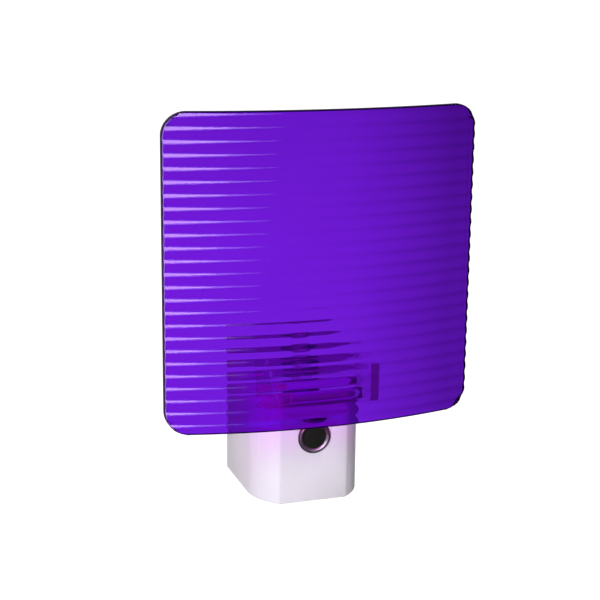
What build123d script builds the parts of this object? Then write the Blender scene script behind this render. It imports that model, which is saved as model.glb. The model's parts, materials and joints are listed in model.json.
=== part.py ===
from build123d import *
import os
from math import asin, cos, degrees, radians, sin, sqrt, tan
from typing import NamedTuple

os.makedirs("parts", exist_ok=True)

# Plug-in night light with a ribbed, curved shade panel, a light sensor and flat plug blades.
# Millimetres. X points right as seen from the room, Y points into the wall, Z points up.
# The origin lies on the wall plane, midway between the two blades.

# --------------------------------------------------------------------------------------
# Driving dimensions
# --------------------------------------------------------------------------------------

# Fits
fit_gap = 0.15              # between two pieces that slot together
wire_gap = 0.12             # between a lead and its hole or sleeve

# Housing: flat front, two large-radius front corners, straight sides
housing_width = 29.7
housing_depth = 30.3
housing_height = 32.25
housing_wall = 1.8
front_flat_width = 17.8
front_corner_radius = 13.0
housing_edge_round = 0.4

# Back cover, let into the open back of the housing
cover_thickness = 2.0
cover_ledge = 0.8           # how much of the wall's thickness carries the cover
cover_corner_radius = 1.0
hook_width = 6.0
hook_thickness = 1.2
hook_length = 6.5
hook_barb = 0.6

# Shade panel: an upright sheet, curved about a vertical axis, with horizontal ribs in front
panel_width = 80.8
rib_pitch = 3.2
rib_count = 25
rib_slope = 30.0            # steepest slope of a rib's flank, in degrees
rib_valley = 0.665          # half-width of the hollow between two ribs
panel_radius = 146.3        # to the crests of the ribs
panel_thickness = 2.2       # crest to back
panel_corner_radius = 6.0
panel_bottom = 7.375        # the lower edge, above the blades
panel_reach = 40.3          # the foremost crest, from the wall

# Collar moulded on the panel's back, which slides over a tongue on the housing
collar_width = 28.9
collar_bottom = 12.325
collar_height = 10.0
collar_side_wall = 2.15
collar_flat_wall = 1.8
collar_overlap = 5.0        # how far its top wall reaches over the housing
guide_thickness = 1.25      # of the two guides beside the tongue
guide_height = 2.4
tongue_width = 17.2
tongue_length = 5.0
snap_width = 12.0
snap_height = 0.6
snap_length = 1.2
snap_setback = 1.9          # from the housing's front to the snap rib's rear face

# Light sensor on the front face
sensor_height = 1.675       # its axis, above the blades
sensor_flange_radius = 4.4
sensor_flange_height = 0.9
sensor_neck_radius = 3.55
sensor_neck_length = 3.3
sensor_lens_radius = 3.0
sensor_lens_edge = 1.1
sensor_lens_dome = 0.45
photocell_radius = 2.3
photocell_thickness = 2.2
photocell_lead_spacing = 2.54
sleeve_length = 8.0

# Light-emitting diode in a raised ring on the top face
led_setback = 12.3          # its axis, behind the housing's front face
led_rise = 9.0              # its dome, above the housing's top
led_radius = 2.5
led_rim_radius = 2.9
led_rim_height = 1.0
led_length = 8.7
led_flange_radius = 4.9
led_flange_height = 4.0
led_neck_radius = 3.9
led_neck_length = 2.6
led_lead_spacing = 2.54
led_lead_height = 6.0       # where the leads turn back to the board
led_lead_bend = 1.2
led_sleeve_length = 8.0
led_sleeve_wall = 0.25

# Plug blades
blade_spacing = 12.7
blade_thickness = 1.5
blade_height = 6.35
blade_length = 16.5
blade_tip_chamfer = 1.4
blade_hole_radius = 1.6
blade_hole_distance = 11.7
blade_shoulder_height = 8.6
blade_tail_height = 3.0
blade_tail_stand = 1.0      # how far the tail comes through the board

# Circuit board, on four posts of the back cover
board_side_gap = 0.35       # from its edges to the housing's side walls
board_hook_gap = 0.5        # from its edges to the back cover's hooks
board_thickness = 1.2
post_length = 5.0
post_radius = 1.2
post_inset_x = 1.5          # from the board's edges to the posts' centres
post_inset_z = 1.2
rail_thickness = 1.5        # rails in the housing that hold the board from the front
rail_inset = 0.9            # from the board's upper and lower edges to the rails' middles
rail_overlap = 1.4

# Leads, square in section
lead_width = 0.5
lead_tail = 1.0             # how far a lead comes through the board
lead_bend = 0.6
hole_sides = 8              # the board's small holes have few sides, because they repeat
component_gap = 0.3         # between a component's body and the board

# Components with two or three straight leads; places are (x, z) seen from the room
film_width = 13.0
film_thickness = 5.0
film_height = 11.0
film_lead_spacing = 10.0
film_inset = 0.5            # from the board's lower edge
can_radius = 3.15
can_height = 11.0
can_groove = 0.35
can_groove_height = 1.2
can_lead_spacing = 2.5
can_place = (7.6, 8.05)
transistor_radius = 2.4
transistor_depth = 3.7
transistor_height = 4.8
transistor_stand = 2.5
transistor_lead_spacing = 1.27
transistor_place = (9.3, 3.0)

# Components that lie on the board with a bent lead at each end
diode_radius = 1.0
diode_length = 5.2
diode_lead_spacing = 6.8
diode_pitch = 2.3
diode_count = 4
diode_place = (-6.5, 9.9)
zener_radius = 0.95
zener_length = 4.0
zener_lead_spacing = 6.0
zener_place = (1.2, 10.7)
fuse_radius = 1.6
fuse_length = 7.5
fuse_lead_spacing = 10.16
fuse_place = (6.4, -5.0)
bleeder_radius = 1.15
bleeder_length = 6.3
bleeder_lead_spacing = 8.6
bleeder_place = (-6.5, -5.2)
bias_radius = 0.9
bias_length = 3.4
bias_lead_spacing = 5.6
bias_place = (1.0, 7.9)
load_place = (-0.4, -3.4)

# --------------------------------------------------------------------------------------
# Places worked out from the driving dimensions
# --------------------------------------------------------------------------------------

housing_top = housing_height / 2
housing_front = -housing_depth
front_inside = housing_front + housing_wall
top_inside = housing_top - housing_wall
side_inside = housing_width / 2 - housing_wall
corner_x = housing_width / 2 - front_corner_radius
corner_y = housing_front + sqrt(front_corner_radius**2 - (front_flat_width / 2 - corner_x) ** 2)

panel_height = rib_count * rib_pitch
panel_front = -panel_reach
panel_axis_y = panel_front + panel_radius
panel_half_angle = degrees(asin(panel_width / 2 / (panel_radius - panel_thickness))) + 1
rib_height = rib_pitch / 2 * tan(radians(rib_slope / 2))

collar_back = housing_front + collar_overlap
collar_sag = panel_radius - sqrt(panel_radius**2 - (collar_width / 2) ** 2)
collar_root = panel_front + (panel_thickness + rib_height + collar_sag) / 2
guide_x = (tongue_width + guide_thickness) / 2 + fit_gap
tongue_bottom = collar_bottom + collar_flat_wall + fit_gap
tongue_height = housing_top - tongue_bottom
snap_back = housing_front - snap_setback

bezel_bore = sensor_lens_radius + fit_gap / 2
lens_rim = sensor_flange_height - sensor_lens_dome
lens_back = housing_front - lens_rim + sensor_lens_edge
sleeve_front = lens_back + fit_gap
photocell_back = sleeve_front + photocell_thickness

led_y = housing_front + led_setback
led_base = housing_top + led_rise - led_length
led_seat = led_base + led_rim_height + fit_gap
led_neck_end = housing_top - led_neck_length

hook_face = top_inside - fit_gap
hook_end = -cover_thickness - hook_length
board_width = 2 * (side_inside - board_side_gap)
board_height = 2 * (hook_face - hook_thickness - board_hook_gap)
board_back = -cover_thickness - post_length
board_front = board_back - board_thickness
body_seat = board_front - component_gap
transistor_seat = board_front - transistor_stand
lead_end = board_back + lead_tail
lead_clear_radius = lead_width / sqrt(2) + wire_gap
film_place = (0, film_inset + film_thickness / 2 - board_height / 2)


class Lying(NamedTuple):
    """A kind of component that lies on the board, along x or along z."""

    name: str
    radius: float
    length: float
    lead_spacing: float
    places: list
    directions: list


diode_places = [(diode_place[0], diode_place[1] - diode_pitch * i) for i in range(diode_count)]
lying_components = [
    Lying(
        "rectifier_diodes",
        diode_radius,
        diode_length,
        diode_lead_spacing,
        diode_places,
        ["x"] * diode_count,
    ),
    Lying("zener_diode", zener_radius, zener_length, zener_lead_spacing, [zener_place], ["x"]),
    Lying("fuse_resistor", fuse_radius, fuse_length, fuse_lead_spacing, [fuse_place], ["x"]),
    Lying(
        "bleeder_resistor",
        bleeder_radius,
        bleeder_length,
        bleeder_lead_spacing,
        [bleeder_place],
        ["x"],
    ),
    Lying(
        "bias_resistors",
        bias_radius,
        bias_length,
        bias_lead_spacing,
        [bias_place, load_place],
        ["x", "z"],
    ),
]


# --------------------------------------------------------------------------------------
# Shared planes, outlines and helpers
# --------------------------------------------------------------------------------------

def facing_room(y):
    """A plane parallel to the wall at depth y: local x is X, local y is Z, normal to the room."""
    return Plane(origin=(0, y, 0), x_dir=(1, 0, 0), z_dir=(0, -1, 0))


def row_of(place, spacing, count, direction="x"):
    """Evenly spaced (x, z) points in a row, centred on a place."""
    offsets = [spacing * (i - (count - 1) / 2) for i in range(count)]
    if direction == "x":
        return [(place[0] + offset, place[1]) for offset in offsets]
    return [(place[0], place[1] + offset) for offset in offsets]


def housing_plan(inset, back):
    """The housing's outline from above, drawn `inset` inside its outer face, open side at `back`."""
    half = housing_width / 2 - inset
    front = housing_front + inset
    radius = front_corner_radius - inset
    flat = corner_x + sqrt(radius**2 - (corner_y - front) ** 2)
    middle = (radians(-90) + asin((flat - corner_x) / radius)) / 2
    middle_x = corner_x + radius * cos(middle)
    middle_y = corner_y + radius * sin(middle)
    with BuildSketch() as plan:
        with BuildLine():
            Line((-flat, front), (flat, front))
            ThreePointArc((flat, front), (middle_x, middle_y), (half, corner_y))
            Polyline((half, corner_y), (half, back), (-half, back), (-half, corner_y))
            ThreePointArc((-half, corner_y), (-middle_x, middle_y), (-flat, front))
        make_face()
    return plan.sketch


def rib_section():
    """The panel's upright section: x is the distance from the panel's axis, y the height."""
    steepest = radians(rib_slope)
    rib_radius = (rib_pitch / 2 - rib_valley) / sin(steepest)
    hollow_radius = rib_valley / sin(steepest)
    crest = panel_radius
    flank = crest - rib_radius * (1 - cos(steepest))
    valley = crest - rib_height
    back = crest - panel_thickness
    end_rise = hollow_radius - sqrt(hollow_radius**2 - (rib_valley / 2) ** 2)
    with BuildSketch() as section:
        with BuildLine():
            ThreePointArc((valley, 0), (valley + end_rise, rib_valley / 2), (flank, rib_valley))
            for i in range(rib_count):
                low = i * rib_pitch + rib_valley
                high = (i + 1) * rib_pitch - rib_valley
                ThreePointArc((flank, low), (crest, (low + high) / 2), (flank, high))
            for i in range(1, rib_count):
                hollow = i * rib_pitch
                ThreePointArc((flank, hollow - rib_valley), (valley, hollow), (flank, hollow + rib_valley))
            ThreePointArc(
                (flank, panel_height - rib_valley),
                (valley + end_rise, panel_height - rib_valley / 2),
                (valley, panel_height),
            )
            Polyline((valley, panel_height), (back, panel_height), (back, 0), (valley, 0))
        make_face()
    return section.sketch


def bezel_section(flange_radius, flange_height, neck_radius, neck_length, bore_radius):
    """Half section of a bezel: x is the radius, y the height above the face it sits on."""
    slope = (flange_radius - bore_radius) / 3
    shoulder = flange_height - slope
    with BuildSketch() as section:
        with BuildLine():
            Polyline(
                (bore_radius, shoulder),
                (bore_radius, -neck_length),
                (neck_radius, -neck_length),
                (neck_radius, 0),
                (flange_radius, 0),
                (flange_radius, shoulder),
                (flange_radius - slope, flange_height),
                (bore_radius + slope, flange_height),
                close=True,
            )
        make_face()
    return section.sketch


def finish(piece, name):
    """Label a piece and write it to its own file."""
    piece.part.label = name
    export_step(piece.part, f"parts/{name}.step")


# --------------------------------------------------------------------------------------
# Shade panel with its collar
# --------------------------------------------------------------------------------------

left_end = radians(-panel_half_angle)
panel_end_plane = Plane(
    origin=(0, panel_axis_y, panel_bottom),
    x_dir=(sin(left_end), -cos(left_end), 0),
    z_dir=(-cos(left_end), -sin(left_end), 0),
)
panel_axis = Axis((0, panel_axis_y, 0), (0, 0, 1))

with BuildPart() as shade_panel:
    # ribbed sheet, turned about the panel's axis and trimmed to a rounded square
    with BuildSketch(panel_end_plane):
        add(rib_section())
    revolve(axis=panel_axis, revolution_arc=2 * panel_half_angle)
    with BuildSketch(facing_room(0)):
        with Locations((0, panel_bottom + panel_height / 2)):
            RectangleRounded(panel_width, panel_height, panel_corner_radius)
    extrude(amount=panel_reach + panel_thickness, mode=Mode.INTERSECT)

    # collar: a rectangular ring with two low guides on its bottom wall
    with BuildSketch(facing_room(collar_root)):
        with Locations((0, collar_bottom + collar_height / 2)):
            Rectangle(collar_width, collar_height)
            Rectangle(
                collar_width - 2 * collar_side_wall,
                collar_height - 2 * collar_flat_wall,
                mode=Mode.SUBTRACT,
            )
        with Locations((0, collar_bottom + (collar_flat_wall + guide_height) / 2)):
            with GridLocations(2 * guide_x, 0, 2, 1):
                Rectangle(guide_thickness, collar_flat_wall + guide_height)
    extrude(amount=collar_root - collar_back)

    # the collar's lower part stops at the housing's front; the rest reaches over its top
    with BuildSketch(Plane.XY.offset(collar_bottom - fit_gap)):
        add(housing_plan(-fit_gap, 0))
    extrude(amount=housing_top - collar_bottom + 2 * fit_gap, mode=Mode.SUBTRACT)

    # snap rib on the bottom wall, under the tongue
    with BuildSketch(facing_room(snap_back)):
        with Locations((0, tongue_bottom + (snap_height - fit_gap) / 2)):
            Rectangle(snap_width, fit_gap + snap_height)
    extrude(amount=snap_length)

finish(shade_panel, "shade_panel")

# --------------------------------------------------------------------------------------
# Front housing
# --------------------------------------------------------------------------------------

with BuildPart() as front_housing:
    with BuildSketch(Plane.XY.offset(-housing_top)):
        add(housing_plan(0, 0))
    extrude(amount=housing_height)
    end_edges = front_housing.faces().filter_by(Axis.Z).edges()
    fillet(end_edges.filter_by(lambda edge: edge.center().Y < -housing_wall), housing_edge_round)

    # tongue for the shade's collar, level with the housing's top
    with BuildSketch(facing_room(front_inside)):
        with Locations((0, tongue_bottom + tongue_height / 2)):
            Rectangle(tongue_width, tongue_height)
    extrude(amount=housing_wall + tongue_length)

    # inside of the shell, open at the back
    with BuildSketch(Plane.XY.offset(-top_inside)):
        add(housing_plan(housing_wall, 0))
    extrude(amount=2 * top_inside, mode=Mode.SUBTRACT)

    # ledge for the back cover
    with BuildSketch(facing_room(0)):
        RectangleRounded(
            2 * (side_inside + cover_ledge),
            2 * (top_inside + cover_ledge),
            cover_corner_radius + fit_gap,
        )
    extrude(amount=cover_thickness, mode=Mode.SUBTRACT)

    # groove for the collar's snap rib, in the tongue's underside
    with BuildSketch(facing_room(snap_back + fit_gap)):
        with Locations((0, tongue_bottom + (snap_height + fit_gap) / 2)):
            Rectangle(snap_width + 2 * fit_gap, snap_height + fit_gap)
    extrude(amount=snap_length + 2 * fit_gap, mode=Mode.SUBTRACT)

    # hole for the sensor's bezel in the front wall
    with BuildSketch(facing_room(front_inside)):
        with Locations((0, sensor_height)):
            Circle(sensor_neck_radius + fit_gap)
    extrude(amount=housing_wall, mode=Mode.SUBTRACT)

    # hole for the diode's ring in the top wall
    with BuildSketch(Plane.XY.offset(top_inside)):
        with Locations((0, led_y)):
            Circle(led_neck_radius + fit_gap)
    extrude(amount=housing_wall, mode=Mode.SUBTRACT)

    # rails on both sides that hold the circuit board from the front
    rail_inner = board_width / 2 - rail_overlap
    rail_outer = side_inside + housing_wall / 2
    with BuildSketch(facing_room(board_front - fit_gap)):
        with GridLocations(rail_inner + rail_outer, board_height - 2 * rail_inset, 2, 2):
            Rectangle(rail_outer - rail_inner, rail_thickness)
    extrude(amount=board_front - fit_gap - corner_y)

    # catches for the back cover's hooks, above and below
    with BuildSketch(facing_room(hook_end + 2 * hook_barb + fit_gap)):
        with GridLocations(0, 2 * top_inside + hook_barb, 1, 2):
            Rectangle(hook_width + 2 * fit_gap, hook_barb)
    extrude(amount=2 * hook_barb + 2 * fit_gap, mode=Mode.SUBTRACT)

finish(front_housing, "front_housing")

# --------------------------------------------------------------------------------------
# Back cover with blade slots, board posts and hooks
# --------------------------------------------------------------------------------------

with BuildPart() as back_cover:
    with BuildSketch(facing_room(0)):
        RectangleRounded(
            2 * (side_inside + cover_ledge - fit_gap),
            2 * (top_inside + cover_ledge - fit_gap),
            cover_corner_radius,
        )
        with GridLocations(blade_spacing, 0, 2, 1):
            Rectangle(
                blade_thickness + 2 * fit_gap,
                blade_height + 2 * fit_gap,
                mode=Mode.SUBTRACT,
            )
    extrude(amount=cover_thickness)
    with BuildSketch(facing_room(-cover_thickness)):
        with GridLocations(
            board_width - 2 * post_inset_x,
            board_height - 2 * post_inset_z,
            2,
            2,
        ):
            Circle(post_radius)
    extrude(amount=post_length)

    # hooks along the housing's top and bottom walls, each with a sloped barb
    for side in (1, -1):
        with BuildSketch(Plane.YZ.offset(-hook_width / 2)):
            with BuildLine():
                Polyline(
                    (-cover_thickness, side * (hook_face - hook_thickness)),
                    (-cover_thickness, side * hook_face),
                    (hook_end + 2 * hook_barb, side * hook_face),
                    (hook_end + 2 * hook_barb, side * (hook_face + hook_barb)),
                    (hook_end, side * hook_face),
                    (hook_end, side * (hook_face - hook_thickness)),
                    close=True,
                )
            make_face()
        extrude(amount=hook_width)

finish(back_cover, "back_cover")

# --------------------------------------------------------------------------------------
# Light sensor: bezel, lens, photocell, its leads and its sleeve
# --------------------------------------------------------------------------------------

# section plane of the sensor: local x is X, local y is the height above the housing's face
sensor_plane = Plane(origin=(0, housing_front, sensor_height), x_dir=(1, 0, 0), z_dir=(0, 0, -1))
sensor_axis = Axis((0, housing_front, sensor_height), (0, 1, 0))

with BuildPart() as sensor_bezel:
    with BuildSketch(sensor_plane):
        add(
            bezel_section(
                sensor_flange_radius,
                sensor_flange_height,
                sensor_neck_radius,
                sensor_neck_length,
                bezel_bore,
            )
        )
    revolve(axis=sensor_axis)

finish(sensor_bezel, "sensor_bezel")

with BuildPart() as sensor_lens:
    dome_radius = (sensor_lens_radius**2 + sensor_lens_dome**2) / (2 * sensor_lens_dome)
    with BuildSketch(sensor_plane):
        with BuildLine():
            Polyline(
                (0, sensor_flange_height),
                (0, lens_rim - sensor_lens_edge),
                (sensor_lens_radius, lens_rim - sensor_lens_edge),
                (sensor_lens_radius, lens_rim),
            )
            RadiusArc((sensor_lens_radius, lens_rim), (0, sensor_flange_height), -dome_radius)
        make_face()
    revolve(axis=sensor_axis)

finish(sensor_lens, "sensor_lens")

with BuildPart() as sensor_sleeve:
    with BuildSketch(facing_room(sleeve_front + sleeve_length)):
        with Locations((0, sensor_height)):
            Circle(sensor_lens_radius)
            Circle(photocell_radius + fit_gap, mode=Mode.SUBTRACT)
    extrude(amount=sleeve_length)

finish(sensor_sleeve, "sensor_sleeve")

with BuildPart() as photocell:
    with BuildSketch(facing_room(photocell_back)):
        with Locations((0, sensor_height)):
            Circle(photocell_radius)
    extrude(amount=photocell_thickness)

finish(photocell, "photocell")

photocell_lead_points = row_of((0, sensor_height), photocell_lead_spacing, 2)

with BuildPart() as photocell_leads:
    with BuildSketch(facing_room(lead_end)):
        with Locations(*photocell_lead_points):
            Rectangle(lead_width, lead_width)
    extrude(amount=lead_end - photocell_back)

finish(photocell_leads, "photocell_leads")

# --------------------------------------------------------------------------------------
# Light-emitting diode: bezel, body, leads and sleeves
# --------------------------------------------------------------------------------------

# section plane of the diode: local x is X, local y is the height above the housing's top
led_plane = Plane(origin=(0, led_y, housing_top), x_dir=(1, 0, 0), z_dir=(0, -1, 0))
led_axis = Axis((0, led_y, 0), (0, 0, 1))

with BuildPart() as led_bezel:
    with BuildSketch(led_plane):
        add(
            bezel_section(
                led_flange_radius,
                led_flange_height,
                led_neck_radius,
                led_neck_length,
                led_radius + fit_gap / 2,
            )
        )
    revolve(axis=led_axis)

    # wider bore from below, where the diode's rim seats
    with BuildSketch(Plane.XY.offset(led_neck_end)):
        with Locations((0, led_y)):
            Circle(led_rim_radius + fit_gap)
    extrude(amount=led_seat - led_neck_end, mode=Mode.SUBTRACT)

finish(led_bezel, "led_bezel")

with BuildPart() as led_body:
    with BuildSketch(Plane.XY.offset(led_base)):
        with Locations((0, led_y)):
            Circle(led_rim_radius)
    extrude(amount=led_rim_height)
    with BuildSketch(Plane.XY.offset(led_base + led_rim_height)):
        with Locations((0, led_y)):
            Circle(led_radius)
    extrude(amount=led_length - led_rim_height - led_radius)
    with Locations((0, led_y, led_base + led_length - led_radius)):
        Sphere(led_radius)

finish(led_body, "led_body")

led_lead_points = row_of((0, led_lead_height), led_lead_spacing, 2)

with BuildPart() as led_leads:
    for x, z in led_lead_points:
        with BuildLine():
            FilletPolyline(
                (x, led_y, led_base),
                (x, led_y, z),
                (x, lead_end, z),
                radius=led_lead_bend,
            )
        with BuildSketch(Plane(origin=(x, led_y, led_base), z_dir=(0, 0, -1))):
            Rectangle(lead_width, lead_width)
        sweep()

finish(led_leads, "led_leads")

with BuildPart() as led_sleeves:
    with BuildSketch(Plane.XY.offset(led_lead_height + led_lead_bend)):
        with Locations((0, led_y)):
            with GridLocations(led_lead_spacing, 0, 2, 1):
                Circle(lead_clear_radius + led_sleeve_wall)
                Circle(lead_clear_radius, mode=Mode.SUBTRACT)
    extrude(amount=led_sleeve_length)

finish(led_sleeves, "led_sleeves")

# --------------------------------------------------------------------------------------
# Plug blades
# --------------------------------------------------------------------------------------

blade_points = row_of((0, 0), blade_spacing, 2)


def plug_blade(x):
    """A flat blade with a shoulder behind the cover and a tail through the board."""
    half = blade_height / 2
    shoulder = blade_shoulder_height / 2
    tail = blade_tail_height / 2
    shoulder_front = -cover_thickness - fit_gap
    shoulder_back = board_back + fit_gap
    tail_end = board_front - blade_tail_stand
    upper_edge = [
        (blade_length, half - blade_tip_chamfer),
        (blade_length - blade_tip_chamfer, half),
        (shoulder_front, half),
        (shoulder_front, shoulder),
        (shoulder_back, shoulder),
        (shoulder_back, tail),
        (tail_end, tail),
    ]
    lower_edge = [(y, -z) for y, z in reversed(upper_edge)]
    with BuildPart() as strip:
        with BuildSketch(Plane.YZ.offset(x - blade_thickness / 2)):
            with BuildLine():
                Polyline(*upper_edge, *lower_edge, close=True)
            make_face()
            with Locations((blade_hole_distance, 0)):
                Circle(blade_hole_radius, mode=Mode.SUBTRACT)
        extrude(amount=blade_thickness)
    return strip


finish(plug_blade(blade_points[0][0]), "plug_blade_left")
finish(plug_blade(blade_points[1][0]), "plug_blade_right")

# --------------------------------------------------------------------------------------
# Components on the circuit board
# --------------------------------------------------------------------------------------

with BuildPart() as dropper_capacitor:
    with BuildSketch(facing_room(body_seat)):
        with Locations(film_place):
            Rectangle(film_width, film_thickness)
    extrude(amount=film_height)

finish(dropper_capacitor, "dropper_capacitor")

with BuildPart() as smoothing_capacitor:
    with BuildSketch(facing_room(body_seat)):
        with Locations(can_place):
            Circle(can_radius)
    extrude(amount=can_height)
    with BuildSketch(facing_room(body_seat - can_groove_height)):
        with Locations(can_place):
            Circle(can_radius)
            Circle(can_radius - can_groove, mode=Mode.SUBTRACT)
    extrude(amount=can_groove, mode=Mode.SUBTRACT)

finish(smoothing_capacitor, "smoothing_capacitor")

with BuildPart() as transistor:
    flat_cut = 2 * transistor_radius - transistor_depth
    with BuildSketch(facing_room(transistor_seat)):
        with Locations(transistor_place):
            Circle(transistor_radius)
            with Locations((0, transistor_radius - flat_cut / 2)):
                Rectangle(2 * transistor_radius, flat_cut, mode=Mode.SUBTRACT)
    extrude(amount=transistor_height)

finish(transistor, "transistor")


def lying_bodies(kind):
    """The bodies of one kind of component that lies on the board."""
    with BuildPart() as bodies:
        for (x, z), direction in zip(kind.places, kind.directions):
            along = Vector(1, 0, 0) if direction == "x" else Vector(0, 0, 1)
            start = Vector(x, body_seat - kind.radius, z) - along * (kind.length / 2)
            with BuildSketch(Plane(origin=start, z_dir=along)):
                Circle(kind.radius)
            extrude(amount=kind.length)
    return bodies


for kind in lying_components:
    finish(lying_bodies(kind), kind.name)

film_lead_points = row_of(film_place, film_lead_spacing, 2)
can_lead_points = row_of(can_place, can_lead_spacing, 2)
transistor_lead_points = row_of(transistor_place, transistor_lead_spacing, 3)
lying_lead_points = [
    point
    for kind in lying_components
    for place, direction in zip(kind.places, kind.directions)
    for point in row_of(place, kind.lead_spacing, 2, direction)
]
component_lead_points = (
    film_lead_points + can_lead_points + transistor_lead_points + lying_lead_points
)

with BuildPart() as component_leads:
    with BuildSketch(facing_room(lead_end)):
        with Locations(*film_lead_points, *can_lead_points):
            Rectangle(lead_width, lead_width)
    extrude(amount=lead_end - body_seat)
    with BuildSketch(facing_room(lead_end)):
        with Locations(*transistor_lead_points):
            Rectangle(lead_width, lead_width)
    extrude(amount=lead_end - transistor_seat)
    for kind in lying_components:
        for (x, z), direction in zip(kind.places, kind.directions):
            for side in (1, -1):
                out = Vector(side, 0, 0) if direction == "x" else Vector(0, 0, side)
                middle = Vector(x, body_seat - kind.radius, z)
                body_end = middle + out * (kind.length / 2)
                corner = middle + out * (kind.lead_spacing / 2)
                board_end = Vector(corner.X, lead_end, corner.Z)
                with BuildLine():
                    FilletPolyline(body_end, corner, board_end, radius=lead_bend)
                with BuildSketch(Plane(origin=body_end, x_dir=(0, 1, 0), z_dir=out)):
                    Rectangle(lead_width, lead_width)
                sweep()

finish(component_leads, "component_leads")

# --------------------------------------------------------------------------------------
# Circuit board
# --------------------------------------------------------------------------------------

lead_points = component_lead_points + photocell_lead_points + led_lead_points

with BuildPart() as circuit_board:
    with BuildSketch(facing_room(board_back)):
        Rectangle(board_width, board_height)
        with Locations(*lead_points):
            RegularPolygon(
                lead_clear_radius,
                hole_sides,
                major_radius=False,
                mode=Mode.SUBTRACT,
            )
        with Locations(*blade_points):
            Rectangle(
                blade_thickness + 2 * fit_gap,
                blade_tail_height + 2 * fit_gap,
                mode=Mode.SUBTRACT,
            )
    extrude(amount=board_thickness)

finish(circuit_board, "circuit_board")
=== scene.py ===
# %% [markdown]
# A plug-in night light with a clear violet shade, dressed for its portrait. The imported model
# is loaded first and never changed: it is the frame that every new piece is built around. All
# sizes are metres, so a piece that is made where the frame says needs no fitting afterwards.

# %% Load the frame
import json
import math

import bpy
from mathutils import Matrix, Vector

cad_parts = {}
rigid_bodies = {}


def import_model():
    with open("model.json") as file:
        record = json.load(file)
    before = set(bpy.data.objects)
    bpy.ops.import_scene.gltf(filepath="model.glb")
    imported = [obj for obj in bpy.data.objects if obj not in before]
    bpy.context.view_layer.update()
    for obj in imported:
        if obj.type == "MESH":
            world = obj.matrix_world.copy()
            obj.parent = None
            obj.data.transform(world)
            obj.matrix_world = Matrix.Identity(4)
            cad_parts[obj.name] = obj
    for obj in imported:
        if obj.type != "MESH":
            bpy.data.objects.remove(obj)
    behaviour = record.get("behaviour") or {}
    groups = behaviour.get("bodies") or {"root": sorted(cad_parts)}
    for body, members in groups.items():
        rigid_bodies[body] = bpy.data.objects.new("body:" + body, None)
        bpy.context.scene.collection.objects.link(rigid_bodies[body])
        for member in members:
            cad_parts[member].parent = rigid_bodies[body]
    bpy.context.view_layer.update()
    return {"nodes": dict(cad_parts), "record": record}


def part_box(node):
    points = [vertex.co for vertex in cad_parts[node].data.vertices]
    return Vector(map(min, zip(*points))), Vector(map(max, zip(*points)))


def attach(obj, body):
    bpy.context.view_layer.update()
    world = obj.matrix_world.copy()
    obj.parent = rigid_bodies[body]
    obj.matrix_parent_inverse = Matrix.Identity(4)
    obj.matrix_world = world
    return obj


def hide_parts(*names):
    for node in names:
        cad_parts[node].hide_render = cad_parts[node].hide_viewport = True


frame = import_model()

for loaded in bpy.context.scene.objects:
    loaded.select_set(False)
nodes = frame["nodes"]
mm = 0.001
print("frame loaded:", len(nodes), "nodes")

# %% [markdown]
# The camera stands a little to the left of the light and a little above it. It could be aimed
# with a Track To constraint, but plain angles are easier to read and to repeat. A point on
# the shade is the target, the camera steps back from it along its line of sight, and a small
# roll levels the picture. A long lens keeps the shade's ribs nearly parallel.

# %% Camera
target = Vector((-7.6585, -40.3, 41.171)) * mm
camera_yaw = math.radians(18.721)
camera_pitch = math.radians(14.2707)
camera_roll = math.radians(0.6607)
camera_distance = 355.442 * mm
camera_lens = 87.303

camera_data = bpy.data.cameras.new("portrait_camera")
camera_data.lens = camera_lens
camera_data.sensor_width = 36
camera_data.clip_start = 0.01
camera_data.clip_end = 50
camera = bpy.data.objects.new("portrait_camera", camera_data)
bpy.context.scene.collection.objects.link(camera)
turn = (
    Matrix.Rotation(-camera_yaw, 4, "Z")
    @ Matrix.Rotation(math.pi / 2 - camera_pitch, 4, "X")
    @ Matrix.Rotation(camera_roll, 4, "Z")
)
camera.rotation_euler = turn.to_euler()
camera.location = target + turn.to_3x3() @ Vector((0, 0, camera_distance))
bpy.context.scene.camera = camera
print("camera at", [round(c, 4) for c in camera.location])

# %% [markdown]
# A shader that changes over a surface needs sums, and a Math node for every plus sign soon
# hides the idea. A small class wraps a node's output and teaches Python's own signs to add
# those nodes, so that an expression such as 1 - mask * 0.3 can be read as it stands.

# %% Sums of sockets
class Value:
    """A number that changes over the surface. Sums of it add Math nodes."""

    def __init__(self, recipe, socket):
        self.recipe = recipe
        self.socket = socket

    def sum(self, operation, *terms, clamp=False):
        settings = {"operation": operation, "use_clamp": clamp}
        return self.recipe.node("ShaderNodeMath", settings, dict(enumerate(terms)))[0]

    def __add__(self, other):
        return self.sum("ADD", self, other)

    __radd__ = __add__

    def __sub__(self, other):
        return self.sum("SUBTRACT", self, other)

    def __rsub__(self, other):
        return self.sum("SUBTRACT", other, self)

    def __mul__(self, other):
        return self.sum("MULTIPLY", self, other)

    __rmul__ = __mul__

    def __truediv__(self, other):
        return self.sum("DIVIDE", self, other)

    def power(self, exponent):
        return self.sum("POWER", self, exponent)

    def ramp(self, low, high):
        """0 at low, 1 at high, clamped."""
        return self.sum("DIVIDE", self - low, high - low, clamp=True)


print("sums of sockets ready")

# %% [markdown]
# Every other node is added by one method, from its type, its settings and its inputs. The
# other methods are short names for what nearly every finish of this light needs: the point on
# the piece, a blend of two colours, a noise, a bump, a body, and a clear body that lamps shine
# through. That last one is needed because clear plastic would otherwise throw a black shadow.

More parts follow.
